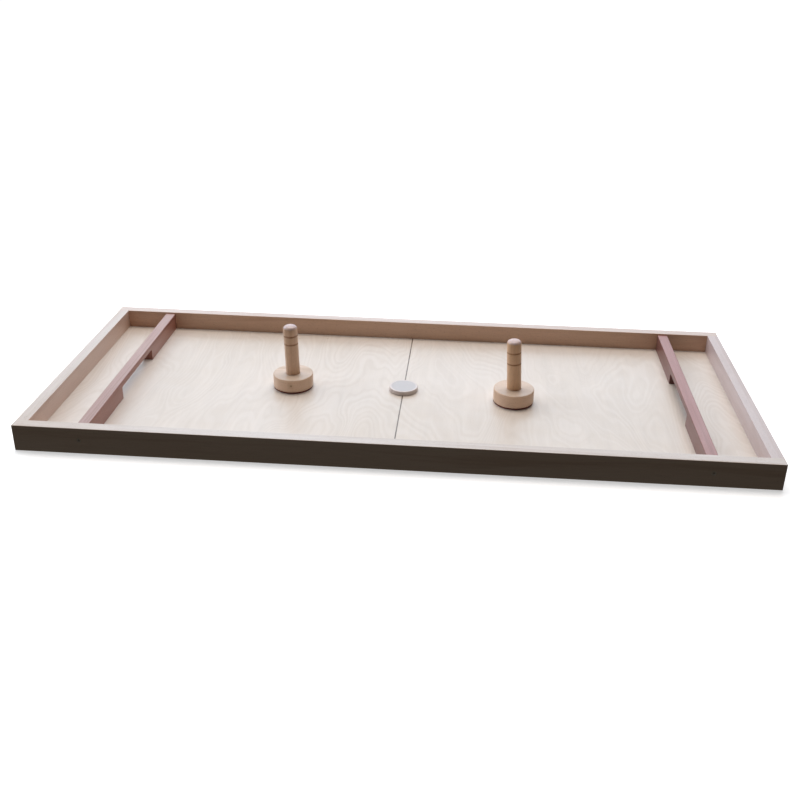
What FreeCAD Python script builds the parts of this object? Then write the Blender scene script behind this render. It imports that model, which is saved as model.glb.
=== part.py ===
"""Table-top shove-hockey board: a shallow wooden tray with two goal bars, two hand mallets and a puck.

Millimetres. The origin is the middle of the underside, +X runs along the tray, +Y across it and +Z up.
Each piece is its own solid in its own STEP file. Identical fasteners in one place share a file.
"""

import FreeCAD, Part
import math
import os

Vector = FreeCAD.Vector

# Tray
overall_length = 1200.0
overall_width = 520.0
rail_thickness = 20.0
rail_height = 45.0
rail_edge_radius = 1.0
playing_height = 11.0  # top of the board above the table that the tray stands on
board_thickness = 9.0
rebate_depth = 10.0  # how far the board is let into each rail from beneath
board_edge_gap = 0.3
centre_line_width = 1.6
centre_line_depth = 0.6

# Goal bars
goal_bar_offset = 493.0  # from the centre line to the middle of a bar
goal_bar_width = 19.0
goal_bar_drop = 3.0  # top of a bar below the top of the rails
goal_bar_edge_radius = 1.5
goal_mouth_width = 164.0
goal_mouth_height = 21.0
goal_mouth_corner_radius = 4.0

# Mallets, with heights above the playing surface
mallet_diameter = 71.0
mallet_height = 118.0
felt_thickness = 3.0
felt_inset = 0.5
felt_edge_radius = 0.6
base_height = 23.0
base_edge_radius = 1.5
handle_diameter = 25.0
handle_dome_height = 7.5
handle_shoulder_radius = 6.0
handle_socket_depth = 15.0
ring_width = 2.6
ring_depth = 1.1
# Sockets are bored a little out of square, so the handles lean by these degrees towards the left goal
left_mallet = {"place": (-198.5, 0.0), "rings": (83.5, 98.5), "lean": 1.8}
right_mallet = {"place": (195.5, -20.5), "rings": (74.5, 95.0), "lean": 3.4}

# Puck
puck_diameter = 51.0
puck_thickness = 8.0
puck_edge_radius = 1.6
puck_place = (0.0, 4.0)

# Screws: head and shank diameters, whole length, length with no thread, and thread pitch
goal_screw = {"head": 8.4, "shank": 4.5, "length": 50.0, "smooth": 21.0, "pitch": 2.2}
board_screw = {"head": 7.0, "shank": 3.5, "length": 20.0, "smooth": 9.5, "pitch": 1.8}
mallet_screw = {"head": 8.4, "shank": 4.5, "length": 30.0, "smooth": 9.0, "pitch": 2.2}
screw_sink = 0.3  # how far a head sits below the wood's face
head_rim = 0.3  # upright edge of a countersunk head
thread_depth = 0.45
goal_screw_height = 24.0
long_rail_screws = {"count": 7, "pitch": 180.0}
end_rail_screws = {"count": 3, "pitch": 160.0}

# Corner dowels
dowel_diameter = 8.0
dowel_length = 30.0
dowel_depth_in_long_rail = 12.0
dowel_heights = (20.0, 34.0)
dowel_chamfer = 1.0
dowel_glue_space = 1.0  # beyond each end of a dowel

# Worked out from the above
half_length = overall_length / 2
half_width = overall_width / 2
inside_half_length = half_length - rail_thickness
inside_half_width = half_width - rail_thickness
board_underside = playing_height - board_thickness
goal_bar_height = rail_height - goal_bar_drop - playing_height
mallet_radius = mallet_diameter / 2
handle_radius = handle_diameter / 2
base_top = felt_thickness + base_height
handle_foot = base_top - handle_socket_depth

UP = Vector(0, 0, 1)
REACH = 5.0  # how far a cutting shape runs past the face that it opens


def block(low, high):
    """A box between two opposite corners."""
    return Part.makeBox(high[0] - low[0], high[1] - low[1], high[2] - low[2], Vector(*low))


def straight_edges(points):
    """Edges through (radius, height) points in the XZ plane, in order and not closed."""
    corners = [Vector(radius, 0, height) for radius, height in points]
    return [Part.makeLine(a, b) for a, b in zip(corners, corners[1:])]


def turned(edges):
    """A solid turned about the Z axis from the edges of a closed half outline."""
    return Part.Face(Part.Wire(edges)).revolve(Vector(0, 0, 0), UP, 360)


def turned_from(points):
    """A solid turned about the Z axis from the (radius, height) corners of its half outline."""
    return turned(straight_edges(points + points[:1]))


def aimed(shape, place, direction):
    """A copy of the shape with its origin moved to a place and its +Z turned to a direction."""
    moved = shape.copy()
    moved.Placement = FreeCAD.Placement(place, FreeCAD.Rotation(UP, direction)) * shape.Placement
    return moved


def eased(shape, radius, chosen):
    """The shape with a round of the radius on each edge whose box the test picks."""
    return shape.makeFillet(radius, [edge for edge in shape.Edges if chosen(edge.BoundBox)])


def evenly(row):
    """Places of a row of screws, centred on 0."""
    return [(index - (row["count"] - 1) / 2) * row["pitch"] for index in range(row["count"])]


# Fasteners


def core_radius(screw):
    """Radius of a screw at the foot of its thread."""
    return screw["shank"] / 2 - thread_depth


def cross_recess(screw):
    """The tapered cross that a driver fits, to cut in a screw's head."""
    reach = 0.27 * screw["head"]
    foot = 0.4 * reach
    depth = 0.9 * reach
    blade_thickness = 0.11 * screw["head"]
    corners = [Vector(-reach, 0, 0), Vector(reach, 0, 0), Vector(foot, 0, depth), Vector(-foot, 0, depth)]
    blade = Part.Face(Part.makePolygon(corners + corners[:1])).extrude(Vector(0, blade_thickness, 0))
    blade.translate(Vector(0, -blade_thickness / 2, 0))
    crossing = blade.copy()
    crossing.rotate(Vector(0, 0, 0), UP, 90)
    return blade.fuse(crossing)


def wood_screw(screw, face, direction):
    """A countersunk cross-head screw driven through a point of a wooden face in a direction."""
    head = screw["head"] / 2
    shank = screw["shank"] / 2
    core = core_radius(screw)
    pitch = screw["pitch"]
    points = [(0, 0), (head, 0), (head, head_rim), (shank, head_rim + head - shank)]
    points += [(shank, screw["smooth"]), (core, screw["smooth"])]
    ridges = int((screw["length"] - screw["smooth"]) / pitch) - 1
    for ridge in range(ridges):
        start = screw["smooth"] + ridge * pitch
        points += [(core, start + 0.5 * pitch), (shank, start + 0.75 * pitch), (core, start + pitch)]
    points.append((0, screw["length"]))
    body = turned_from(points).cut(cross_recess(screw))
    return aimed(body, face + direction * screw_sink, direction)


def screw_hole(screw, face, direction):
    """A screw's countersunk hole: the shank's size first, then the core's size where the thread bites."""
    head = screw["head"] / 2
    shank = screw["shank"] / 2
    core = core_radius(screw)
    seat = screw_sink + head_rim
    smooth_end = screw_sink + screw["smooth"]
    end = screw_sink + screw["length"]
    points = [(0, -REACH), (head, -REACH), (head, seat), (shank, seat + head - shank)]
    points += [(shank, smooth_end), (core, smooth_end), (core, end), (0, end)]
    return aimed(turned_from(points), face, direction)


def in_corner(peg, side_x, side_y, overrun):
    """Copies of a peg in one corner, from inside the long rail into the end rail's end grain."""
    start_y = side_y * (inside_half_width + dowel_depth_in_long_rail + overrun)
    centre_x = side_x * (inside_half_length + rail_thickness / 2)
    inward = Vector(0, -side_y, 0)
    return [aimed(peg, Vector(centre_x, start_y, height), inward) for height in dowel_heights]


def corner_dowels(side_x, side_y):
    """The chamfered pegs that join a long rail to an end rail."""
    radius = dowel_diameter / 2
    end_radius = radius - dowel_chamfer
    points = [(0, 0), (end_radius, 0), (radius, dowel_chamfer), (radius, dowel_length - dowel_chamfer)]
    points += [(end_radius, dowel_length), (0, dowel_length)]
    return Part.makeCompound(in_corner(turned_from(points), side_x, side_y, 0.0))


def corner_holes(side_x, side_y):
    """The pegs' holes, with room for glue at both ends."""
    hole = Part.makeCylinder(dowel_diameter / 2, dowel_length + 2 * dowel_glue_space)
    return in_corner(hole, side_x, side_y, dowel_glue_space)


def board_screw_places(name):
    """Where the board's screws go up into the named rail, in the middle of its rebate."""
    if name in ("front", "rear"):
        y = (inside_half_width + rebate_depth / 2) * (1 if name == "rear" else -1)
        return [Vector(x, y, board_underside) for x in evenly(long_rail_screws)]
    x = (inside_half_length + rebate_depth / 2) * (1 if name == "right" else -1)
    return [Vector(x, y, board_underside) for y in evenly(end_rail_screws)]


def goal_screw_lines(side_x):
    """(face point, direction) of the screws that hold a goal bar between the long rails."""
    return [(Vector(side_x * goal_bar_offset, -side_y * half_width, goal_screw_height), Vector(0, side_y, 0))
            for side_y in (1, -1)]


# Tray


def frame_ring():
    """All four rails as one ring, rounded together as they are once glued up, with the board's rebate."""
    ring = block((-half_length, -half_width, 0), (half_length, half_width, rail_height))
    ring = ring.cut(block((-inside_half_length, -inside_half_width, -REACH),
                          (inside_half_length, inside_half_width, rail_height + REACH)))

    def worn(box):
        outside = abs(box.Center.x) > half_length - 1 or abs(box.Center.y) > half_width - 1
        return outside or box.ZMin > rail_height - 1

    ring = eased(ring, rail_edge_radius, worn)
    edge_x = inside_half_length + rebate_depth
    edge_y = inside_half_width + rebate_depth
    return ring.cut(block((-edge_x, -edge_y, -REACH), (edge_x, edge_y, playing_height)))


def long_rail(side_y):
    """The front or rear rail: it runs the full length, and its ends cover the end rails'."""
    low_y, high_y = sorted((side_y * inside_half_width, side_y * half_width))
    rail = frame_ring().common(block((-half_length, low_y, 0), (half_length, high_y, rail_height)))
    cuts = corner_holes(1, side_y) + corner_holes(-1, side_y)
    name = "rear" if side_y > 0 else "front"
    cuts += [screw_hole(board_screw, place, UP) for place in board_screw_places(name)]
    for side_x in (1, -1):
        cuts += [screw_hole(goal_screw, face, way) for face, way in goal_screw_lines(side_x)
                 if face.y * side_y > 0]
    return rail.cut(cuts)


def end_rail(side_x):
    """The left or right rail: it fits between the long rails."""
    low_x, high_x = sorted((side_x * inside_half_length, side_x * half_length))
    between = block((low_x, -inside_half_width, 0), (high_x, inside_half_width, rail_height))
    rail = frame_ring().common(between)
    name = "right" if side_x > 0 else "left"
    cuts = corner_holes(side_x, 1) + corner_holes(side_x, -1)
    cuts += [screw_hole(board_screw, place, UP) for place in board_screw_places(name)]
    return rail.cut(cuts)


def playing_board():
    """The plywood panel, with the centre line cut across its face and screw holes round its edge."""
    reach_x = inside_half_length + rebate_depth - board_edge_gap
    reach_y = inside_half_width + rebate_depth - board_edge_gap
    board = block((-reach_x, -reach_y, board_underside), (reach_x, reach_y, playing_height))
    groove_floor = playing_height - centre_line_depth
    line = block((-centre_line_width / 2, -half_width, groove_floor),
                 (centre_line_width / 2, half_width, playing_height + REACH))
    holes = [screw_hole(board_screw, place, UP)
             for name in ("front", "rear", "left", "right") for place in board_screw_places(name)]
    return board.cut([line] + holes)


def board_screws(name):
    """The row of screws that holds the board up to the named rail."""
    return Part.makeCompound([wood_screw(board_screw, place, UP) for place in board_screw_places(name)])


# Goal bars


def goal_mouth(centre_x):
    """What is cut from a bar: a low opening with rounded upper corners."""
    ceiling = playing_height + goal_mouth_height
    mouth = block((centre_x - goal_bar_width, -goal_mouth_width / 2, playing_height - REACH),
                  (centre_x + goal_bar_width, goal_mouth_width / 2, ceiling))
    return eased(mouth, goal_mouth_corner_radius, lambda box: box.XLength > 1 and box.ZMin > playing_height)


def goal_bar(side_x):
    """A hardwood bar across the tray that the puck passes under and a mallet doesn't."""
    centre_x = side_x * goal_bar_offset
    low_x = centre_x - goal_bar_width / 2
    high_x = centre_x + goal_bar_width / 2
    top = playing_height + goal_bar_height
    bar = block((low_x, -inside_half_width, playing_height), (high_x, inside_half_width, top))
    bar = eased(bar, goal_bar_edge_radius, lambda box: box.YLength > 1 and box.ZMin > playing_height)
    holes = [screw_hole(goal_screw, face, way) for face, way in goal_screw_lines(side_x)]
    return bar.cut([goal_mouth(centre_x)] + holes)


def goal_bar_screws(side_x):
    """One screw through each long rail into the end of a goal bar."""
    return Part.makeCompound([wood_screw(goal_screw, face, way) for face, way in goal_screw_lines(side_x)])


# Mallets and puck


def standing_at(shape, place):
    """The shape, made on z = 0, set on the playing surface."""
    return aimed(shape, Vector(place[0], place[1], playing_height), UP)


def rounded_disc(radius, low, high, low_round, high_round):
    """A disc between two heights with its rims rounded."""
    disc = Part.makeCylinder(radius, high - low, Vector(0, 0, low))
    disc = eased(disc, high_round, lambda box: box.ZLength < 1e-3 and box.ZMin > low)
    return eased(disc, low_round, lambda box: box.ZLength < 1e-3 and box.ZMax < low + 1e-3)


def mallet_felt(mallet):
    """The thin pad under a mallet."""
    felt = rounded_disc(mallet_radius - felt_inset, 0, felt_thickness, felt_edge_radius, felt_edge_radius)
    return standing_at(felt, mallet["place"])


def leaning(shape, mallet):
    """The shape tilted with its mallet's handle, about the middle of the base's top face."""
    tilted = shape.copy()
    tilted.rotate(Vector(0, 0, base_top), Vector(0, 1, 0), -mallet["lean"])
    return tilted


def mallet_screw_hole():
    """The hole up through a base into its handle."""
    return screw_hole(mallet_screw, Vector(0, 0, felt_thickness), UP)


def mallet_base(mallet):
    """The turned disc, with a blind socket for the handle and a countersunk hole beneath."""
    disc = rounded_disc(mallet_radius, felt_thickness, base_top, 0.5 * base_edge_radius, base_edge_radius)
    socket = Part.makeCylinder(handle_radius, handle_socket_depth + REACH, Vector(0, 0, handle_foot))
    bores = [leaning(socket, mallet), leaning(mallet_screw_hole(), mallet)]
    return standing_at(disc.cut(bores), mallet["place"])


def dome_edges(shoulder):
    """A small shoulder arc up from the side, then a flatter crown arc that runs on from it to the axis."""
    inner = handle_radius - handle_shoulder_radius
    rise = handle_dome_height - handle_shoulder_radius
    crown_drop = (inner ** 2 - rise ** 2) / (2 * rise)
    crown_radius = handle_dome_height + crown_drop
    meeting = math.atan2(crown_drop, inner)

    def on_shoulder(angle):
        return Vector(inner + handle_shoulder_radius * math.cos(angle), 0,
                      shoulder + handle_shoulder_radius * math.sin(angle))

    def on_crown(angle):
        return Vector(crown_radius * math.cos(angle), 0,
                      shoulder - crown_drop + crown_radius * math.sin(angle))

    side_arc = Part.Arc(on_shoulder(0), on_shoulder(meeting / 2), on_shoulder(meeting))
    top = Vector(0, 0, mallet_height)
    crown_arc = Part.Arc(on_shoulder(meeting), on_crown((meeting + math.pi / 2) / 2), top)
    return [side_arc.toShape(), crown_arc.toShape()]


def mallet_handle(mallet):
    """The turned dowel: a domed top and two V-shaped rings below it."""
    shoulder = mallet_height - handle_dome_height
    side = [(0, handle_foot), (handle_radius, handle_foot)]
    for ring in mallet["rings"]:
        side += [(handle_radius, ring - ring_width / 2), (handle_radius - ring_depth, ring)]
        side.append((handle_radius, ring + ring_width / 2))
    side.append((handle_radius, shoulder))
    axis = Part.makeLine(Vector(0, 0, mallet_height), Vector(0, 0, handle_foot))
    handle = turned(straight_edges(side) + dome_edges(shoulder) + [axis])
    return standing_at(leaning(handle.cut(mallet_screw_hole()), mallet), mallet["place"])


def mallet_screw_piece(mallet):
    """The screw that pulls a handle down into its base, hidden by the felt."""
    screw = wood_screw(mallet_screw, Vector(0, 0, felt_thickness), UP)
    return standing_at(leaning(screw, mallet), mallet["place"])


def puck():
    """The thin disc that is struck."""
    disc = rounded_disc(puck_diameter / 2, 0, puck_thickness, puck_edge_radius, puck_edge_radius)
    return standing_at(disc, puck_place)


def all_pieces():
    """Every piece by the name of its file."""
    pieces = {"playing_board": playing_board(), "puck": puck()}
    for name, side_y in (("front", -1), ("rear", 1)):
        pieces[name + "_rail"] = long_rail(side_y)
    for name, side_x in (("left", -1), ("right", 1)):
        pieces[name + "_end_rail"] = end_rail(side_x)
        pieces[name + "_goal_bar"] = goal_bar(side_x)
        pieces[name + "_goal_bar_screws"] = goal_bar_screws(side_x)
        for depth_name, side_y in (("front", -1), ("rear", 1)):
            pieces[depth_name + "_" + name + "_corner_dowels"] = corner_dowels(side_x, side_y)
    for name in ("front", "rear", "left", "right"):
        pieces[name + "_board_screws"] = board_screws(name)
    for name, mallet in (("left", left_mallet), ("right", right_mallet)):
        pieces[name + "_mallet_felt"] = mallet_felt(mallet)
        pieces[name + "_mallet_base"] = mallet_base(mallet)
        pieces[name + "_mallet_handle"] = mallet_handle(mallet)
        pieces[name + "_mallet_screw"] = mallet_screw_piece(mallet)
    return pieces


os.makedirs("parts", exist_ok=True)
for piece_name, piece in all_pieces().items():
    piece.exportStep("parts/" + piece_name + ".step")
    print(piece_name, len(piece.Solids), round(piece.Volume), piece.isValid())
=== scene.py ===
import math

import bpy
import numpy as np
from mathutils import Matrix, Vector


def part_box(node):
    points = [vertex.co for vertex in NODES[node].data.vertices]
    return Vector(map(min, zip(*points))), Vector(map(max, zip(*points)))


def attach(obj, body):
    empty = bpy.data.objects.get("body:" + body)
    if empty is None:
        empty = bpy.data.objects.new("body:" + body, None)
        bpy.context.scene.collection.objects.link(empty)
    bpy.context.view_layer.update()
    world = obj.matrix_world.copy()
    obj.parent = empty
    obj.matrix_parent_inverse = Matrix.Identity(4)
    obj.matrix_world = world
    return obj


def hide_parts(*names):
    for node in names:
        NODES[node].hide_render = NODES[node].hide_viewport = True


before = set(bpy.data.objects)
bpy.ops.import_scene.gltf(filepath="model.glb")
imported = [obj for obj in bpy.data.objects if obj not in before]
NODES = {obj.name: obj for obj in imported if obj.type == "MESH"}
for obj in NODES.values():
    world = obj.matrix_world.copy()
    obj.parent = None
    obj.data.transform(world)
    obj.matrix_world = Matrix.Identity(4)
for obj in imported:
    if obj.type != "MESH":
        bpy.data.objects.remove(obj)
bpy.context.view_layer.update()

MM = 0.001
X, Y, Z = 0, 1, 2
SIDES = ("left", "right")


# ---------------------------------------------------------------- colours

class Wood:
    """The tones of one timber: pale and warm early wood, late wood, and its pores and rays."""

    def __init__(self, light, warm, late, pore):
        self.light, self.warm, self.late, self.pore = light, warm, late, pore

    def tinted(self, tint):
        """The same timber in another tint; the pieces' tints hold painted light and shade besides the
        wood's own colour.
        """
        tones = (self.light, self.warm, self.late, self.pore)
        return Wood(*(tuple(part * share for part, share in zip(tone, tint)) for tone in tones))


BIRCH = Wood((0.684, 0.609, 0.537), (0.630, 0.549, 0.468), (0.492, 0.395, 0.311), (0.443, 0.318, 0.207))
BEECH = Wood((0.640, 0.461, 0.367), (0.588, 0.408, 0.313), (0.431, 0.254, 0.165), (0.323, 0.175, 0.107))
TURNED_BEECH = Wood((0.87, 0.63, 0.475), (0.77, 0.53, 0.372), (0.51, 0.31, 0.160), (0.36, 0.20, 0.118))
RED = Wood((0.372, 0.164, 0.121), (0.306, 0.118, 0.085), (0.195, 0.066, 0.043), (0.115, 0.035, 0.023))
BIRCH_PALE = (0.756, 0.691, 0.633)

# how far a piece was cut from the pith of its log, how much that differs, and how far the layers wander
PITH_DISTANCE = 55 * MM
PITH_SPREAD = 13 * MM
LAYER_SWAY = 26 * MM

# the axis that each rail's grain runs along, and the seed of its figure
RAIL_GRAINS = {
    "front_rail": (X, 1.0),
    "rear_rail": (X, 2.3),
    "left_end_rail": (Y, 3.1),
    "right_end_rail": (Y, 4.6),
}
GOAL_BAR_SEEDS = {"left_goal_bar": 5.2, "right_goal_bar": 6.9}

# each piece's tint, partly painted light and shade, and the tint painted on what faces up, which is painted
# light and sheen on the top faces
RAIL_TINTS_AND_PAINTED_LIGHT = {
    # the front rail's darker, greener tint is painted shade on its outer face
    "front_rail": ((0.88, 0.98, 0.93), (1.09, 1.21, 1.44)),
    "rear_rail": ((1.10, 1.00, 0.88), (0.87, 1.08, 1.34)),
    "left_end_rail": ((1.00, 1.00, 1.00), (0.91, 1.09, 1.21)),
    "right_end_rail": ((0.94, 1.05, 1.31), (0.88, 0.88, 0.81)),
}
# the right goal bar's dark tint is painted shade, and both bars' strong top tints are a painted sheen
GOAL_BAR_TINTS_AND_PAINTED_LIGHT = {
    "left_goal_bar": ((1.00, 0.97, 0.93), (1.27, 2.05, 2.55)),
    "right_goal_bar": ((0.55, 0.52, 0.60), (2.02, 2.52, 2.62)),
}
# each handle's tint, partly painted shade: the left handle is darker to offset the left lamp
HANDLE_TINTS_AND_PAINTED_SHADE = {"left": (0.87, 0.81, 0.74), "right": (0.98, 0.90, 0.77)}
# painted light on the bases' top faces
BASE_TOP_PAINTED_LIGHT = (0.74, 0.79, 0.81)
# pale lavender painted on the handles' domes, a painted sky reflection
PAINTED_SKY_REFLECTION = (0.50, 0.46, 0.56)
KNOT_BROWN = (0.20, 0.10, 0.045)
SCORCH = (0.30, 0.19, 0.11)
CHAR = (0.07, 0.045, 0.03)
RING_BROWN = (0.30, 0.11, 0.035)
FELT_DARK = (0.115, 0.026, 0.022)
FELT_LIGHT = (0.270, 0.078, 0.066)
# the puck's dish, painted darker grey as a sky reflection, and its rim, painted lighter as a highlight
PUCK_DISH_REFLECTION = (0.53, 0.507, 0.508)
PUCK_RIM_HIGHLIGHT = (0.691, 0.617, 0.591)
PUCK_SCUFF = (0.40, 0.37, 0.35)
ZINC_WARM = (0.62, 0.50, 0.34)
ZINC_COOL = (0.60, 0.56, 0.48)

WOOD_IOR = 1.47
BOARD_LACQUER = {"IOR": WOOD_IOR, "Coat_Weight": 0.42, "Coat_Roughness": 0.34}
RAIL_LACQUER = {"IOR": WOOD_IOR, "Coat_Weight": 0.5, "Coat_Roughness": 0.30}
THIN_LACQUER = {"IOR": WOOD_IOR, "Coat_Weight": 0.3, "Coat_Roughness": 0.30}


# ---------------------------------------------------------------- sizes of the marks and turned pieces

GROOVE_HALF = 0.8 * MM
GROOVE_STAIN_DEPTH = 1.2 * MM
PLY = 1.5 * MM
# the board's pin knots: share of its length, share of its width, and radius
PIN_KNOTS = (
    (0.309, 0.928, 1.1 * MM),
    (0.356, 0.942, 1.2 * MM),
    (0.656, 0.926, 0.9 * MM),
    (0.865, 0.915, 0.9 * MM),
)

FELT_EDGE = 0.9 * MM
FELT_FUZZ = 0.28 * MM
FELT_LUMPS = (3, 7, 16, 37)
FELT_SEEDS = {"left": 3, "right": 8}

MALLET_SEEDS = {"left": 9.4, "right": 11.1}
BASE_TOP_EASE = 1.8 * MM
BASE_FOOT_EASE = 0.8 * MM
KNOTTED_BASE = "left"
BASE_KNOT = 2.1 * MM
BASE_KNOT_PLACE = (2.0 * MM, 1.0 * MM)

SOCKET_RADIUS = 12.62 * MM
SOCKET_DEPTH = 15 * MM
SOCKET_EASE = 0.35 * MM
SHANK_HOLE_RADIUS = 2.3 * MM
HEAD_HOLE_RADIUS = 4.3 * MM
HEAD_SEAT = 2.6 * MM

HANDLE_FOOT_EASE = 0.5 * MM
DOME_HEIGHT = 7.5 * MM
DOME_WEAR = 0.02 * MM
SHOULDER_RADIUS = 6 * MM
RING_DEPTH = 0.6 * MM
RING_WIDTH = 2.6 * MM
RING_BURN = 1.4 * MM
# each ring's height above the base's top
RING_HEIGHTS = {"left": (57.5 * MM, 72.5 * MM), "right": (48.5 * MM, 69.0 * MM)}

PUCK_EDGE = 1.5 * MM
PUCK_RIM_WIDTH = 1.2 * MM
PUCK_DISH_SLOPE = 1.0 * MM
PUCK_DISH_DEPTH = 0.35 * MM

# points round each turned piece
FELT_STEPS = 240
BASE_STEPS = 144
HANDLE_STEPS = 112
PUCK_STEPS = 128
FLOOR_STEPS = 64


# ---------------------------------------------------------------- camera, lamps and floor

CAMERA_PLACE = (0.11138, -1.55990, 0.77557)
# yaw, pitch and roll in radians
CAMERA_TURNS = (0.0643, -0.4529, 0.0196)
CAMERA_LENS = 43.69
CAMERA_SHIFT = (-0.0119, -0.0137)
SENSOR_WIDTH = 36.0
COOL = (0.84, 1.0, 1.18)
FAINTLY_COOL = (0.93, 1.0, 1.08)
WARM = (1.06, 0.99, 0.95)
# each lamp's place, width, height, power and colour
LAMPS = {
    "low_behind": ((0.0, 3.4, 1.5), 5.0, 2.0, 42.0, COOL),
    "high_behind": ((0.0, 2.6, 2.6), 4.0, 2.0, 37.0, COOL),
    "overhead": ((0.0, 0.8, 3.2), 3.0, 1.5, 78.0, WARM),
    "left_side": ((-3.2, 1.0, 1.8), 4.0, 3.0, 80.0, FAINTLY_COOL),
}
ROOM_COLOUR = (1.0, 0.92, 0.88, 1.0)
ROOM_STRENGTH = 0.069
# the floor lights itself a little by the tray, and more further off, where the lamps do not reach
NEAR_GLOW = 0.5
FAR_GLOW = 1.0
# the floor lies a hair under the tray, so that the two surfaces never share a plane
FLOOR_GAP = 0.5 * MM


# ---------------------------------------------------------------- node trees

class Tree:
    """One material's node tree, built a short call at a time.

    A value is a number, a colour or a socket. The surface's colour, roughness and lift gather on the way.
    """

    def __init__(self, name):
        self.material = bpy.data.materials.new(name)
        self.material.use_nodes = True
        self.nodes = self.material.node_tree.nodes
        self.links = self.material.node_tree.links
        self.nodes.clear()
        self.output = self.nodes.new("ShaderNodeOutputMaterial")
        self.shader = self.nodes.new("ShaderNodeBsdfPrincipled")
        self.links.new(self.shader.outputs[0], self.output.inputs["Surface"])
        coordinates = self.nodes.new("ShaderNodeTexCoord")
        self.place = coordinates.outputs["Object"]
        self.normal = coordinates.outputs["Normal"]
        self.colour = (0.8, 0.8, 0.8)
        self.roughness = 0.5
        self.lift = None

    def feed(self, socket, value):
        if isinstance(value, bpy.types.NodeSocket):
            self.links.new(value, socket)
        elif isinstance(value, (tuple, list)) and socket.type == "RGBA":
            socket.default_value = (*value[:3], 1.0)
        else:
            socket.default_value = value

    def node(self, kind, inputs=(), **settings):
        made = self.nodes.new("ShaderNode" + kind)
        for name, value in settings.items():
            setattr(made, name, value)
        for key, value in dict(inputs).items():
            self.feed(made.inputs[key], value)
        return made

    # numbers

    def math(self, operation, a, b=0.0):
        return self.node("Math", {0: a, 1: b}, operation=operation).outputs[0]

    def add(self, a, b):
        return self.math("ADD", a, b)

    def times(self, a, b):
        return self.math("MULTIPLY", a, b)

    def least(self, a, b):
        return self.math("MINIMUM", a, b)

    def most(self, a, b):
        return self.math("MAXIMUM", a, b)

    def size(self, a):
        return self.math("ABSOLUTE", a)

    def spread(self, value, low, high, to_low=0.0, to_high=1.0, smooth=True):
        """Value's range low to high laid on to_low to to_high, and held there outside it."""
        made = self.node("MapRange", {"Value": value, "From Min": low, "From Max": high,
                                      "To Min": to_low, "To Max": to_high})
        made.interpolation_type = "SMOOTHSTEP" if smooth else "LINEAR"
        return made.outputs[0]

    # vectors

    def parts(self, vector=None):
        split = self.node("SeparateXYZ", {0: self.place if vector is None else vector})
        return split.outputs[0], split.outputs[1], split.outputs[2]

    def joined(self, x, y, z):
        return self.node("CombineXYZ", {0: x, 1: y, 2: z}).outputs[0]

    def stretched(self, scale, move=(0, 0, 0)):
        """The place with each axis multiplied by its scale, then moved."""
        made = self.node("VectorMath", {0: self.place, 1: scale, 2: move}, operation="MULTIPLY_ADD")
        return made.outputs[0]

    def gap(self, point, centre):
        return self.node("VectorMath", {0: point, 1: centre}, operation="DISTANCE").outputs["Value"]

    def noise(self, vector, scale=1.0, detail=2.0, roughness=0.5, bend=0.0):
        inputs = {"Vector": vector, "Scale": scale, "Detail": detail, "Roughness": roughness}
        inputs["Distortion"] = bend
        return self.node("TexNoise", inputs).outputs[0]

    # the surface

    def mixed(self, share, a, b, how="MIX"):
        made = self.node("Mix", data_type="RGBA", blend_type=how)
        self.feed(made.inputs[0], share)
        self.feed(made.inputs[6], a)
        self.feed(made.inputs[7], b)
        return made.outputs[2]

    def stain(self, share, colour):
        """Lays a colour over the surface's own, by a share from nothing to all of it."""
        self.colour = self.mixed(share, self.colour, colour)

    def shade(self, factor):
        """Makes the surface's colour darker or lighter by a factor."""
        self.colour = self.mixed(1.0, self.colour, self.joined(factor, factor, factor), "MULTIPLY")

    def raise_by(self, height, distance, strength):
        """Adds a bump on top of those that the surface has."""
        made = self.node("Bump", {"Height": height, "Distance": distance, "Strength": strength})
        if self.lift is not None:
            self.feed(made.inputs["Normal"], self.lift)
        self.lift = made.outputs[0]

    def finish(self, **plain):
        self.feed(self.shader.inputs["Base Color"], self.colour)
        self.feed(self.shader.inputs["Roughness"], self.roughness)
        if self.lift is not None:
            self.feed(self.shader.inputs["Normal"], self.lift)
        for name, value in plain.items():
            self.feed(self.shader.inputs[name.replace("_", " ")], value)
        return self.material


# ---------------------------------------------------------------- birch plywood

def add_knot(tree, point, centre, radius, late):
    """A small ragged knot, and the stained wood round it."""
    gap = tree.add(tree.gap(point, centre), tree.times(tree.noise(tree.place, scale=900.0), 0.8 * MM))
    tree.stain(tree.spread(gap, 0.6 * radius, 4.0 * radius, 0.45, 0.0), late)
    tree.stain(tree.spread(gap, 0.3 * radius, 1.4 * radius, 0.80, 0.0), KNOT_BROWN)


def birch_figure(tree):
    """The shares of late and of pale wood, which follow the contours of the log's growth layers."""
    x, y, _ = tree.parts()
    broad = tree.noise(tree.stretched((6.6, 2.2, 30.0), move=(3.1, 7.7, 1.3)), roughness=0.42, bend=0.3)
    small = tree.noise(tree.stretched((26.0, 7.0, 30.0)))
    layers = tree.add(tree.times(broad, 40.0), tree.times(small, 2.4))
    layers = tree.add(layers, tree.times(x, 12.0))
    wave = tree.math("SINE", tree.times(layers, 2 * math.pi))
    uneven = tree.noise(tree.joined(tree.times(layers, 1.7), tree.times(y, 2.0), tree.times(x, 2.0)))
    lines = tree.add(tree.times(wave, 0.16), uneven)
    patches = tree.noise(tree.stretched((6.0, 3.0, 9.0), move=(9, 2, 4)))
    late = tree.times(tree.spread(lines, 0.50, 0.74), tree.spread(patches, 0.32, 0.68, 0.3, 1.0))
    return late, tree.spread(lines, 0.50, 0.28)


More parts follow.
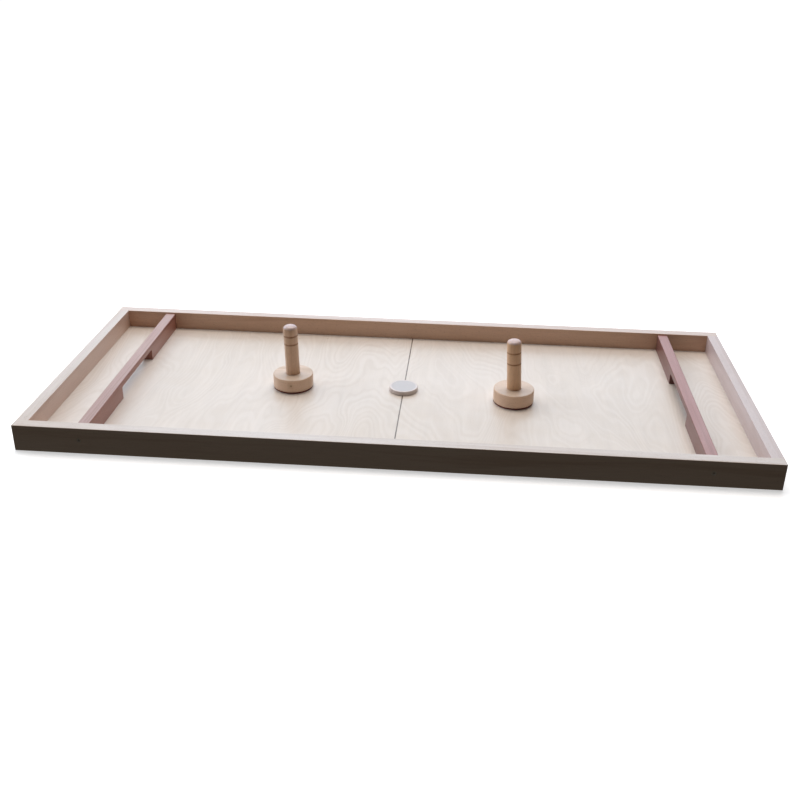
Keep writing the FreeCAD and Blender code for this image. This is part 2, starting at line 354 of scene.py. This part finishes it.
def burn_groove(tree, middle, top):
    """Browns the groove across the middle, and scorches the board beside it."""
    x, _, z = tree.parts()
    off_line = tree.size(tree.add(x, -middle))
    depth = tree.add(top, tree.times(z, -1.0))
    on_top = tree.spread(depth, GROOVE_STAIN_DEPTH, GROOVE_STAIN_DEPTH + 0.4 * MM, 1.0, 0.0)
    scorch = tree.spread(off_line, GROOVE_HALF, GROOVE_HALF + 1.1 * MM, 0.45, 0.0)
    char = tree.spread(off_line, GROOVE_HALF - 0.05 * MM, GROOVE_HALF + 0.15 * MM, 1.0, 0.0)
    patchy = tree.spread(tree.noise(tree.stretched((40.0, 70.0, 40.0))), 0.3, 0.7, 0.75, 1.0)
    tree.stain(tree.times(tree.times(scorch, on_top), patchy), SCORCH)
    tree.stain(tree.times(tree.times(char, on_top), patchy), CHAR)


def show_plies(tree):
    """Stripes the sheet's own edges with its plies."""
    upright = tree.size(tree.parts(tree.normal)[Z])
    on_edge = tree.spread(upright, 0.4, 0.6, 1.0, 0.0)
    ply = tree.math("FRACT", tree.times(tree.parts()[Z], 1.0 / PLY))
    tree.stain(tree.times(on_edge, tree.spread(ply, 0.4, 0.6, 0.1, 0.8)), BIRCH.late)


def birch_plywood(low, high):
    """Rotary-cut birch face under clear satin lacquer, its grain across the tray."""
    tree = Tree("birch_plywood")
    late, pale = birch_figure(tree)
    cloud = tree.noise(tree.stretched((3.0, 2.0, 3.0)), detail=3.0, roughness=0.55)
    silk = tree.noise(tree.stretched((75.0, 7.0, 40.0)), detail=3.0, roughness=0.6)
    pores = tree.spread(tree.noise(tree.stretched((1500.0, 42.0, 200.0)), roughness=0.6), 0.58, 0.80)
    tree.colour = tree.mixed(tree.spread(cloud, 0.3, 0.7), BIRCH.light, BIRCH.warm)
    tree.shade(tree.spread(silk, 0.25, 0.75, 0.95, 1.035, smooth=False))
    tree.stain(tree.times(late, 0.17), BIRCH.late)
    tree.stain(tree.times(pale, 0.17), BIRCH_PALE)
    tree.stain(tree.times(pores, 0.18), BIRCH.pore)

    x, y, _ = tree.parts()
    flat = tree.joined(x, y, 0.0)
    for along, across, radius in PIN_KNOTS:
        centre = (low.x + along * (high.x - low.x), low.y + across * (high.y - low.y), 0.0)
        add_knot(tree, flat, centre, radius, BIRCH.late)
    burn_groove(tree, (low.x + high.x) / 2, high.z)
    show_plies(tree)

    rubbed = tree.noise(tree.stretched((6.0, 40.0, 9.0)), detail=4.0, roughness=0.65)
    tree.roughness = tree.add(tree.spread(rubbed, 0.3, 0.7, 0.36, 0.50), tree.times(pores, 0.10))
    tree.raise_by(pores, -0.05 * MM, 0.5)
    tree.raise_by(late, 0.03 * MM, 0.4)
    return tree.finish(**BOARD_LACQUER)


# ---------------------------------------------------------------- solid timber

def along_grain(along, length, width):
    """Noise scales for a shape that is long along the grain and narrow across it."""
    scale = [width, width, width]
    scale[along] = length
    return scale


def lay_grain(tree, wood, along, seed, ring_gap, contrast, fleck=0.35):
    """Growth lines, fibres and rays of a piece cut beside the pith of its log, its grain along one axis."""
    parts = tree.parts()
    across = [parts[axis] for axis in (X, Y, Z) if axis != along]
    sway = tree.noise(tree.stretched(along_grain(along, 1.4, 22.0), move=(seed, seed * 1.7, seed * 0.3)))
    near = tree.add(across[0], tree.times(sway, LAYER_SWAY))
    far = tree.add(across[1], PITH_DISTANCE + PITH_SPREAD * math.sin(seed * 3.0))
    from_pith = tree.math("SQRT", tree.add(tree.times(near, near), tree.times(far, far)))
    layer = tree.joined(tree.times(from_pith, 1.0 / ring_gap), tree.times(parts[along], 2.2), seed)
    late = tree.spread(tree.noise(layer, detail=4.0, roughness=0.58), 0.50, 0.70)

    fibre = tree.noise(tree.stretched(along_grain(along, 30.0, 900.0), move=(seed, 0, seed)), roughness=0.6)
    ray = tree.noise(tree.stretched(along_grain(along, 230.0, 1500.0), move=(0, seed, 0)), detail=1.0)
    wide = tree.stretched(along_grain(along, 2.2, 16.0), move=(seed * 2.0, seed, 0))
    band = tree.spread(tree.noise(wide, detail=3.0, roughness=0.55), 0.3, 0.7)
    tree.colour = tree.mixed(band, wood.light, wood.warm)
    tree.stain(tree.times(late, contrast), wood.late)
    tree.shade(tree.spread(fibre, 0.25, 0.75, 0.92, 1.07, smooth=False))
    tree.stain(tree.times(tree.spread(ray, 0.64, 0.74), fleck), wood.pore)
    tree.roughness = tree.spread(band, 0.0, 1.0, 0.36, 0.50, smooth=False)
    tree.raise_by(fibre, 0.05 * MM, 0.35)
    tree.raise_by(late, 0.04 * MM, 0.3)


def darken_ends(tree, along, late):
    """End grain is darker, because it drinks the finish."""
    facing = tree.size(tree.parts(tree.normal)[along])
    tree.stain(tree.spread(facing, 0.75, 0.95, 0.0, 0.35), late)


def rub_rims(tree, low, high, light):
    """Play rubs the edges of a box pale and matt."""
    sides = []
    for part, start, stop in zip(tree.parts(), low, high):
        sides.append(tree.least(tree.size(tree.add(part, -start)), tree.size(tree.add(part, -stop))))
    x, y, z = sides
    gap = tree.least(tree.least(tree.most(x, y), tree.most(y, z)), tree.most(x, z))
    patchy = tree.spread(tree.noise(tree.place, scale=38.0, detail=4.0, roughness=0.6), 0.35, 0.75)
    worn = tree.times(tree.spread(gap, 0.4 * MM, 3.0 * MM, 1.0, 0.0), patchy)
    tree.stain(tree.times(worn, 0.30), light)
    tree.roughness = tree.add(tree.roughness, tree.times(worn, 0.08))


def paint_light_on_top(tree, tint):
    """Paints light on what faces up: a tint that stands in for the sheen and light on top faces."""
    upward = tree.spread(tree.parts(tree.normal)[Z], 0.6, 0.95)
    tree.stain(upward, tree.mixed(1.0, tree.colour, tint, "MULTIPLY"))


def paint_dome_reflection(tree, start, stop):
    """Paints a pale lavender sky reflection towards the top of the dome, stronger on some fibres than
    others.
    """
    uneven = tree.noise(tree.stretched((330.0, 330.0, 60.0)), detail=3.0, roughness=0.6)
    reflection_share = tree.spread(tree.parts()[Z], start, (start + stop) / 2)
    tree.stain(tree.times(reflection_share, tree.spread(uneven, 0.35, 0.65, 0.38, 0.66)), PAINTED_SKY_REFLECTION)


def burn_rings(tree):
    """Browns the wood where the mesh's burnt attribute says so."""
    burnt = tree.node("Attribute", attribute_name="burnt").outputs["Fac"]
    uneven = tree.spread(tree.noise(tree.place, scale=160.0, detail=3.0), 0.3, 0.7, 0.80, 1.0)
    tree.stain(tree.times(tree.spread(burnt, 0.02, 0.60), tree.times(uneven, 0.70)), RING_BROWN)
    tree.roughness = tree.add(tree.roughness, tree.times(burnt, 0.25))


def rail_wood(node, along, seed):
    """Planed beech of one rail."""
    tree = Tree(node + "_beech")
    # the rail's tint is partly painted light and shade, and its top tint is painted light and sheen
    tint, painted_top_light = RAIL_TINTS_AND_PAINTED_LIGHT[node]
    wood = BEECH.tinted(tint)
    lay_grain(tree, wood, along, seed, ring_gap=5.5 * MM, contrast=0.42, fleck=0.55)
    darken_ends(tree, along, wood.late)
    rub_rims(tree, *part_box(node), wood.light)
    paint_light_on_top(tree, painted_top_light)
    return tree.finish(**RAIL_LACQUER)


def goal_bar_wood(node, seed):
    """Planed red hardwood of one goal bar."""
    tree = Tree(node + "_red")
    # the bar's tint is partly painted shade, and its top tint is a painted sheen
    tint, painted_top_light = GOAL_BAR_TINTS_AND_PAINTED_LIGHT[node]
    wood = RED.tinted(tint)
    lay_grain(tree, wood, Y, seed, ring_gap=3.5 * MM, contrast=0.50, fleck=0.6)
    darken_ends(tree, Y, wood.late)
    rub_rims(tree, *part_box(node), wood.light)
    paint_light_on_top(tree, painted_top_light)
    return tree.finish(**THIN_LACQUER)


def base_wood(side, front):
    """Turned beech with its grain level, and one mallet's pin knot at the front of its rim."""
    tree = Tree(side + "_base_beech")
    lay_grain(tree, TURNED_BEECH, X, MALLET_SEEDS[side], ring_gap=4.5 * MM, contrast=0.44, fleck=0.5)
    if side == KNOTTED_BASE:
        add_knot(tree, tree.place, front, BASE_KNOT, TURNED_BEECH.late)
    darken_ends(tree, X, TURNED_BEECH.late)
    # painted light on the base's top face
    paint_light_on_top(tree, BASE_TOP_PAINTED_LIGHT)
    return tree.finish(**THIN_LACQUER)


def handle_wood(side, shoulder, top):
    """Turned beech with upright grain, its dome painted pale with a sky reflection, its two rings burnt."""
    tree = Tree(side + "_handle_beech")
    # the handle's tint is partly painted shade
    wood = TURNED_BEECH.tinted(HANDLE_TINTS_AND_PAINTED_SHADE[side])
    lay_grain(tree, wood, Z, MALLET_SEEDS[side] + 1.0, ring_gap=4.5 * MM, contrast=0.44, fleck=0.5)
    # painted sky reflection on the dome
    paint_dome_reflection(tree, shoulder, top)
    burn_rings(tree)
    return tree.finish(**THIN_LACQUER)


def dowel_wood():
    """Bare beech of the corner dowels."""
    tree = Tree("beech_dowel")
    lay_grain(tree, TURNED_BEECH, Y, 8.0, ring_gap=4.0 * MM, contrast=0.3)
    darken_ends(tree, Y, TURNED_BEECH.late)
    return tree.finish(IOR=WOOD_IOR)


# ---------------------------------------------------------------- felt, plastic and steel

def dark_felt(side):
    """Pressed felt of a dark red brown, matt and fuzzy."""
    tree = Tree(side + "_dark_felt")
    fuzz = tree.noise(tree.place, scale=2600.0, detail=3.0, roughness=0.7)
    clump = tree.noise(tree.place, scale=420.0)
    tree.colour = tree.mixed(tree.spread(fuzz, 0.3, 0.7), FELT_DARK, FELT_LIGHT)
    tree.shade(tree.spread(clump, 0.3, 0.7, 0.8, 1.15))
    tree.roughness = 0.95
    tree.raise_by(tree.add(fuzz, clump), 0.25 * MM, 0.8)
    return tree.finish(Sheen_Weight=0.25, Sheen_Roughness=0.5, Specular_IOR_Level=0.2)


def puck_plastic(low, high):
    """Off-white plastic, scuffed both ways by play, its dish painted a darker grey as a sky reflection and
    its raised rim painted lighter as a highlight.
    """
    tree = Tree("puck_white")
    middle = (low + high) / 2
    x, y, _ = tree.parts()
    out = tree.gap(tree.joined(x, y, 0.0), (middle.x, middle.y, 0.0))
    rim_in = (high.x - low.x) / 2 - PUCK_EDGE - PUCK_RIM_WIDTH
    inner = tree.spread(out, rim_in - 1.5 * MM, rim_in - 0.3 * MM, 1.0, 0.0)
    scuff = tree.noise(tree.stretched((70.0, 900.0, 90.0)), detail=4.0, roughness=0.7)
    scuff_across = tree.noise(tree.stretched((900.0, 60.0, 90.0)), detail=3.0, roughness=0.7)
    marks = tree.most(tree.spread(scuff, 0.56, 0.74), tree.spread(scuff_across, 0.6, 0.76))
    cloud = tree.noise(tree.place, scale=70.0, detail=3.0)
    tree.colour = tree.mixed(inner, PUCK_RIM_HIGHLIGHT, PUCK_DISH_REFLECTION)
    tree.shade(tree.spread(cloud, 0.3, 0.7, 0.97, 1.02))
    tree.stain(tree.times(marks, 0.25), PUCK_SCUFF)
    tree.roughness = tree.add(tree.spread(cloud, 0.3, 0.7, 0.38, 0.48), tree.times(marks, 0.2))
    tree.raise_by(marks, -0.03 * MM, 0.5)
    return tree.finish(IOR=1.5)


def zinc_steel():
    """Zinc plate, mottled and a little yellow."""
    tree = Tree("zinc_plated_steel")
    swirl = tree.noise(tree.place, scale=900.0, detail=3.0, roughness=0.6, bend=1.5)
    mottle = tree.noise(tree.place, scale=160.0, detail=3.0)
    tree.colour = tree.mixed(tree.spread(mottle, 0.3, 0.7), ZINC_WARM, ZINC_COOL)
    tree.shade(tree.spread(swirl, 0.3, 0.7, 0.85, 1.08))
    tree.roughness = tree.spread(swirl, 0.3, 0.7, 0.45, 0.62)
    tree.raise_by(swirl, 0.04 * MM, 0.4)
    return tree.finish(Metallic=1.0)


# ---------------------------------------------------------------- the tray keeps its CAD meshes

def paint(node, material):
    """Gives a CAD node its material."""
    for held in NODES[node].material_slots:
        held.material = material


def paint_tray():
    paint("playing_board", birch_plywood(*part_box("playing_board")))
    for node, (along, seed) in RAIL_GRAINS.items():
        paint(node, rail_wood(node, along, seed))
    for node, seed in GOAL_BAR_SEEDS.items():
        paint(node, goal_bar_wood(node, seed))
    steel = zinc_steel()
    dowels = dowel_wood()
    for node in NODES:
        if node.endswith(("screw", "screws")):
            paint(node, steel)
        elif node.endswith("dowels"):
            paint(node, dowels)


# ---------------------------------------------------------------- meshes of turned pieces

class Axis:
    """A line that a piece is turned about: a point on it and the way up along it."""

    def __init__(self, foot, up=(0.0, 0.0, 1.0)):
        self.foot = Vector(foot)
        self.up = Vector(up).normalized()
        self.across = Vector((0.0, 1.0, 0.0)).cross(self.up).normalized()
        self.over = self.up.cross(self.across)

    def height(self, point):
        return (Vector(point) - self.foot).dot(self.up)

    def circle(self, radius, height, steps):
        """Points round the axis, or the one point on it where the radius is nothing."""
        middle = self.foot + self.up * height
        if radius == 0.0:
            return [middle]
        turns = [2 * math.pi * i / steps for i in range(steps)]
        return [middle + (self.across * math.cos(a) + self.over * math.sin(a)) * radius for a in turns]

    def slid(self, points, level):
        """The points moved along the axis until each is at a level."""
        return [point + self.up * ((level - point.z) / self.up.z) for point in points]


def arc(centre, radius, start, stop, steps=6):
    """Points round part of a circle, with its angles in degrees from straight outward."""
    turns = np.radians(np.linspace(start, stop, steps + 1))
    return [(centre[0] + radius * math.cos(a), centre[1] + radius * math.sin(a)) for a in turns]


def supported(outline, gap=0.25 * MM):
    """The outline with a point close to each end of its long straights, which keeps their shading flat."""
    points = []
    for here, there in zip(outline, outline[1:]):
        points.append(here)
        length = math.dist(here, there)
        if length > 6 * gap:
            for share in (gap / length, 1 - gap / length):
                points.append(tuple(a + share * (b - a) for a, b in zip(here, there)))
    return points + outline[-1:]


def skin(name, rings, looped=False):
    """A closed surface through rings of points in order. A ring of one point closes an end."""
    points, faces, starts = [], [], []
    for ring in rings:
        starts.append(len(points))
        points.extend(ring)
    pairs = list(zip(rings, rings[1:], starts, starts[1:]))
    if looped:
        pairs.append((rings[-1], rings[0], starts[-1], starts[0]))
    for here, there, start, after in pairs:
        steps = max(len(here), len(there))
        for i in range(steps):
            j = (i + 1) % steps
            corners = [start + i % len(here), start + j % len(here)]
            corners += [after + j % len(there), after + i % len(there)]
            faces.append(list(dict.fromkeys(corners)))
    mesh = bpy.data.meshes.new(name)
    mesh.from_pydata(points, [], faces)
    mesh.polygons.foreach_set("use_smooth", [True] * len(mesh.polygons))
    piece = bpy.data.objects.new(name, mesh)
    bpy.context.collection.objects.link(piece)
    return piece


def turned(name, axis, outline, steps):
    """A closed surface turned about an axis from (radius, height) points that start and end on it."""
    return skin(name, [axis.circle(radius, height, steps) for radius, height in outline])


def stand_in(piece, node, body, material):
    """The piece takes the place of a CAD node of its body."""
    piece.data.materials.append(material)
    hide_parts(node)
    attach(piece, body)


def middle_of(node):
    """The middle of a node's box at rest."""
    low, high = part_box(node)
    return (low + high) / 2


# ---------------------------------------------------------------- mallets

def handle_axis(side):
    """The line that a handle leans along, from the level of its base's top, found from its CAD mesh."""
    mesh = NODES[side + "_mallet_handle"].data
    centres = np.array([face.center for face in mesh.polygons])
    areas = np.array([face.area for face in mesh.polygons])
    middle = areas @ centres / areas.sum()
    spread = (centres - middle) * np.sqrt(areas)[:, None]
    up = Vector(np.linalg.eigh(spread.T @ spread)[1][:, -1])
    up *= math.copysign(1.0, up.z)
    axis = Axis(middle, up)
    base_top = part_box(side + "_mallet_base")[1].z
    axis.foot = axis.slid([axis.foot], base_top)[0]
    return axis


def make_felt(side):
    """A pad cut from felt by hand, with a soft uneven edge."""
    node = side + "_mallet_felt"
    low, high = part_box(node)
    radius = (high.x - low.x) / 2 - FELT_FUZZ
    thick = high.z - low.z
    outline = [(0.0, 0.0), (0.5 * radius, 0.0)]
    outline += arc((radius - FELT_EDGE, FELT_EDGE), FELT_EDGE, -90, 0, 4)
    outline += arc((radius - FELT_EDGE, thick - FELT_EDGE), FELT_EDGE, 0, 90, 4)
    outline += [(0.5 * radius, thick), (0.0, thick)]
    middle = middle_of(node)
    axis = Axis((middle.x, middle.y, low.z))
    turns = np.arange(FELT_STEPS) * 2 * math.pi / FELT_STEPS
    tufts = np.random.default_rng(FELT_SEEDS[side])
    starts = tufts.uniform(0, 2 * math.pi, len(FELT_LUMPS))
    lumps = sum(np.sin(count * turns + start) for count, start in zip(FELT_LUMPS, starts)) / len(FELT_LUMPS)
    rings = []
    for reach, height in supported(outline):
        ring = axis.circle(reach, height, FELT_STEPS)
        if reach > 0.9 * radius:
            out = FELT_FUZZ * (0.5 * lumps + tufts.uniform(-0.45, 0.45, FELT_STEPS))
            ring = [point + (point - axis.foot).normalized() * push for point, push in zip(ring, out)]
            ring = [Vector((point.x, point.y, low.z + height)) for point in ring]
        rings.append(ring)
    stand_in(skin(side + "_felt_pad", rings), node, side + "_mallet", dark_felt(side))


def base_outside(radius, low, high):
    """Outline of a base from under it, round its eased rims, to near the handle."""
    outline = [(0.5 * radius, low)]
    outline += arc((radius - BASE_FOOT_EASE, low + BASE_FOOT_EASE), BASE_FOOT_EASE, -90, 0, 5)
    outline += arc((radius - BASE_TOP_EASE, high - BASE_TOP_EASE), BASE_TOP_EASE, 0, 90, 8)
    return outline + [(SOCKET_RADIUS + 4 * MM, high)]


def make_base(side):
    """A turned disc with eased rims, a socket that leans with the handle, and the screw's hole beneath."""
    node = side + "_mallet_base"
    low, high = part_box(node)
    middle = middle_of(node)
    radius = (high.x - low.x) / 2
    thick = high.z - low.z
    upright = Axis((middle.x, middle.y, 0.0))
    outside = supported(base_outside(radius, low.z, high.z))
    rings = [upright.circle(reach, height, BASE_STEPS) for reach, height in outside]
    leaning = handle_axis(side)
    mouth = SOCKET_RADIUS + SOCKET_EASE
    for reach in (mouth + 0.2 * MM, mouth):
        rings.append(leaning.slid(leaning.circle(reach, 0.0, BASE_STEPS), high.z))
    inside = [(SOCKET_RADIUS, height) for height in (-SOCKET_EASE, -3 * SOCKET_EASE, -SOCKET_DEPTH)]
    inside += [(SHANK_HOLE_RADIUS, height) for height in (-SOCKET_DEPTH, HEAD_SEAT - thick)]
    rings += [leaning.circle(reach, height, BASE_STEPS) for reach, height in inside]
    rings.append(leaning.slid(leaning.circle(HEAD_HOLE_RADIUS, -thick, BASE_STEPS), low.z))
    piece = skin(side + "_turned_base", rings, looped=True)
    piece.data.set_sharp_from_angle(angle=math.radians(50))
    front = (middle.x + BASE_KNOT_PLACE[0], middle.y - radius, middle.z + BASE_KNOT_PLACE[1])
    stand_in(piece, node, side + "_mallet", base_wood(side, front))


def ring_cut(radius, height):
    """Outline down into a burnt ring and out again, smooth like a half wave."""
    points = []
    for share in np.linspace(-2.0, 2.0, 33):
        cut = max(0.0, 1.0 - abs(share))
        points.append((radius - RING_DEPTH * cut * cut * (3 - 2 * cut), height + share * RING_WIDTH / 2))
    return points


def dome(radius, shoulder):
    """A small arc in from the side, then a flatter one that runs on from it over the top."""
    inner = radius - SHOULDER_RADIUS
    rise = DOME_HEIGHT - SHOULDER_RADIUS
    drop = (inner ** 2 - rise ** 2) / (2 * rise)
    meeting = math.degrees(math.atan2(drop, inner))
    side_arc = arc((inner, shoulder), SHOULDER_RADIUS, 0, meeting, 9)
    crown = arc((0.0, shoulder - drop), DOME_HEIGHT + drop, meeting, 90, 8)
    return side_arc + crown[1:-1] + [(0.0, shoulder + DOME_HEIGHT)]


def make_handle(side):
    """A dowel with a domed top and two burnt rings, standing in the base's socket."""
    node = side + "_mallet_handle"
    low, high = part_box(node)
    axis = handle_axis(side)
    radius = (high.y - low.y) / 2
    heights = [axis.height(vertex.co) for vertex in NODES[node].data.vertices]
    foot, top = min(heights), max(heights) - DOME_WEAR
    shoulder = top - DOME_HEIGHT
    outline = [(0.0, foot), (radius - HANDLE_FOOT_EASE, foot), (radius, foot + HANDLE_FOOT_EASE)]
    for ring in RING_HEIGHTS[side]:
        outline += ring_cut(radius, ring)
    outline += dome(radius, shoulder)
    piece = turned(side + "_turned_handle", axis, supported(outline), HANDLE_STEPS)
    burnt = piece.data.attributes.new("burnt", "FLOAT", "POINT")
    for index, vertex in enumerate(piece.data.vertices):
        height = axis.height(vertex.co)
        off_ring = min(abs(height - ring) for ring in RING_HEIGHTS[side])
        burnt.data[index].value = math.exp(-(off_ring / RING_BURN) ** 2)
    wood = handle_wood(side, shoulder + axis.foot.z, top + axis.foot.z)
    stand_in(piece, node, side + "_mallet", wood)


def make_mallets():
    for side in SIDES:
        make_felt(side)
        make_base(side)
        make_handle(side)


# ---------------------------------------------------------------- puck

def make_puck():
    """A plastic disc with a shallow dish in each face, which leaves a raised rim."""
    low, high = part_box("puck")
    middle = middle_of("puck")
    radius = (high.x - low.x) / 2
    thick = high.z - low.z
    rim_in = radius - PUCK_EDGE - PUCK_RIM_WIDTH
    under = [(0.0, PUCK_DISH_DEPTH), (rim_in - PUCK_DISH_SLOPE, PUCK_DISH_DEPTH), (rim_in, 0.0)]
    under += arc((radius - PUCK_EDGE, PUCK_EDGE), PUCK_EDGE, -90, 0, 6)
    over = [(reach, thick - height) for reach, height in reversed(under)]
    axis = Axis((middle.x, middle.y, low.z))
    piece = turned("puck_disc", axis, supported(under + over), PUCK_STEPS)
    stand_in(piece, "puck", "puck", puck_plastic(low, high))


# ---------------------------------------------------------------- floor, light and camera

def floor_glow():
    """Near white, and brighter of itself with distance from the tray."""
    tree = Tree("pale_floor")
    grain = tree.noise(tree.place, scale=3.0, detail=3.0)
    away = tree.spread(tree.gap(tree.place, (0.0, 0.0, 0.0)), 0.8, 2.6, NEAR_GLOW, FAR_GLOW)
    tree.colour = tree.mixed(grain, (0.90, 0.90, 0.90), (0.93, 0.93, 0.93))
    tree.roughness = 0.9
    return tree.finish(Specular_IOR_Level=0.0, Emission_Color=(1.0, 1.0, 1.0), Emission_Strength=away)


def make_floor():
    """A pale floor that curves up into a pale wall and roof all round, well outside the lights."""
    reach, curve = 9.0, 3.0
    wall_top, eaves, roof = 9.0, 12.0, 13.5
    outline = [(0.0, 0.0), (reach / 2, 0.0), (reach, 0.0)]
    outline += arc((reach, curve), curve, -80, 0, 8)
    outline += [(reach + curve, wall_top), (reach, eaves), (0.0, roof)]
    foot = Axis((0.0, 0.0, -FLOOR_GAP))
    floor = turned("floor", foot, outline, FLOOR_STEPS)
    floor.data.flip_normals()
    floor.data.materials.append(floor_glow())
    for ray in ("diffuse", "glossy", "transmission", "volume_scatter", "shadow"):
        setattr(floor, "visible_" + ray, False)


def area_light(name, place, width, height, power, colour):
    """A soft rectangular lamp that points at the middle of the tray."""
    lamp = bpy.data.lights.new(name, "AREA")
    lamp.shape = "RECTANGLE"
    lamp.size = width
    lamp.size_y = height
    lamp.energy = power
    lamp.color = colour
    held = bpy.data.objects.new(name, lamp)
    held.location = place
    held.rotation_euler = Vector(place).to_track_quat("Z", "Y").to_euler()
    bpy.context.collection.objects.link(held)
    held.visible_camera = False


def make_lights():
    """Broad cool light from behind and the left, warm light from above, and a dim warm room."""
    for name, facts in LAMPS.items():
        area_light(name, *facts)
    world = bpy.data.worlds.new("studio")
    world.use_nodes = True
    background = world.node_tree.nodes["Background"]
    background.inputs["Color"].default_value = ROOM_COLOUR
    background.inputs["Strength"].default_value = ROOM_STRENGTH
    bpy.context.scene.world = world


def make_camera():
    """The camera stands in front of the tray, a little to the right of its middle, and looks down on it."""
    yaw, pitch, roll = CAMERA_TURNS
    forward = Vector((-math.sin(yaw) * math.cos(pitch), math.cos(yaw) * math.cos(pitch), math.sin(pitch)))
    right = Vector((math.cos(yaw), math.sin(yaw), 0.0))
    up = right.cross(forward)
    right_rolled = math.cos(roll) * right + math.sin(roll) * up
    up_rolled = math.cos(roll) * up - math.sin(roll) * right
    turn = Matrix((right_rolled, up_rolled, -forward)).transposed().to_4x4()
    view = bpy.data.cameras.new("camera")
    view.sensor_width = SENSOR_WIDTH
    view.lens = CAMERA_LENS
    view.shift_x, view.shift_y = CAMERA_SHIFT
    view.clip_start = 0.05
    view.clip_end = 100.0
    camera = bpy.data.objects.new("camera", view)
    camera.matrix_world = Matrix.Translation(CAMERA_PLACE) @ turn
    bpy.context.collection.objects.link(camera)
    bpy.context.scene.camera = camera


bpy.context.scene.view_settings.view_transform = "Standard"
paint_tray()
make_mallets()
make_puck()
make_floor()
make_lights()
make_camera()
